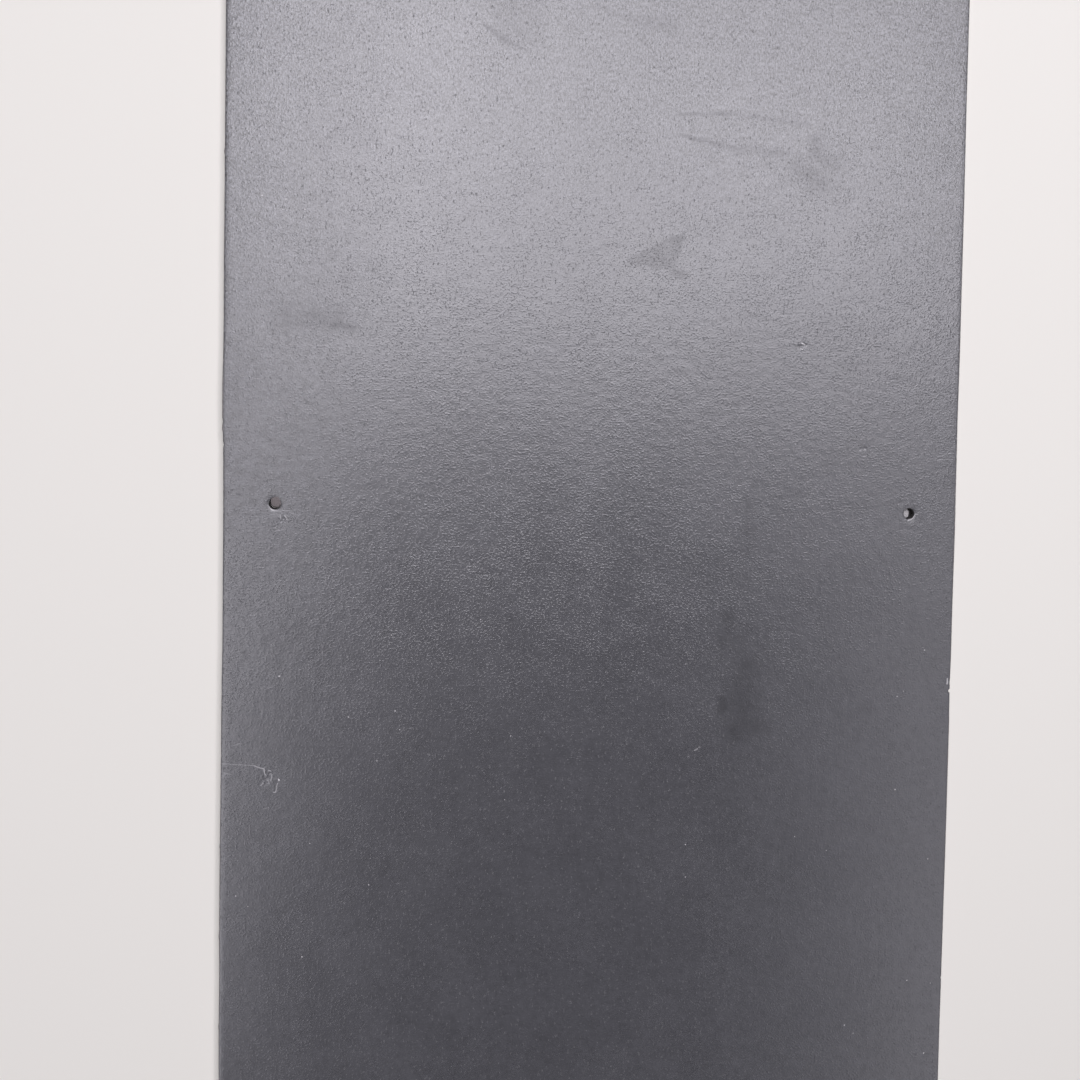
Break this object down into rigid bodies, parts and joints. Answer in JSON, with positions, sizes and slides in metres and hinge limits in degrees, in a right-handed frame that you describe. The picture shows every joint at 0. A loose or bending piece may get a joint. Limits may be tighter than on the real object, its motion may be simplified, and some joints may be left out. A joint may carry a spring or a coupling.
{
  "type": "slate roof tile",
  "caption": "Flat rectangular fibre-cement roof slate with sheared edges, punched nail holes near its sides and a punched rivet hole at its tail, for double-lap roofs.",
  "frame": {"origin": "middle of the back face, which is the face that the slate rests on", "axes": "+Y along the length, from the tail to the head, the edge laid towards the ridge; +X across the width; +Z out of the weathered face"},
  "size_m": [0.3, 0.6, 0.004],
  "materials": {
    "coated_fibre_cement": "satin"
  },
  "bodies": {
    "root": {"slate": "coated_fibre_cement"}
  },
  "joints": []
}
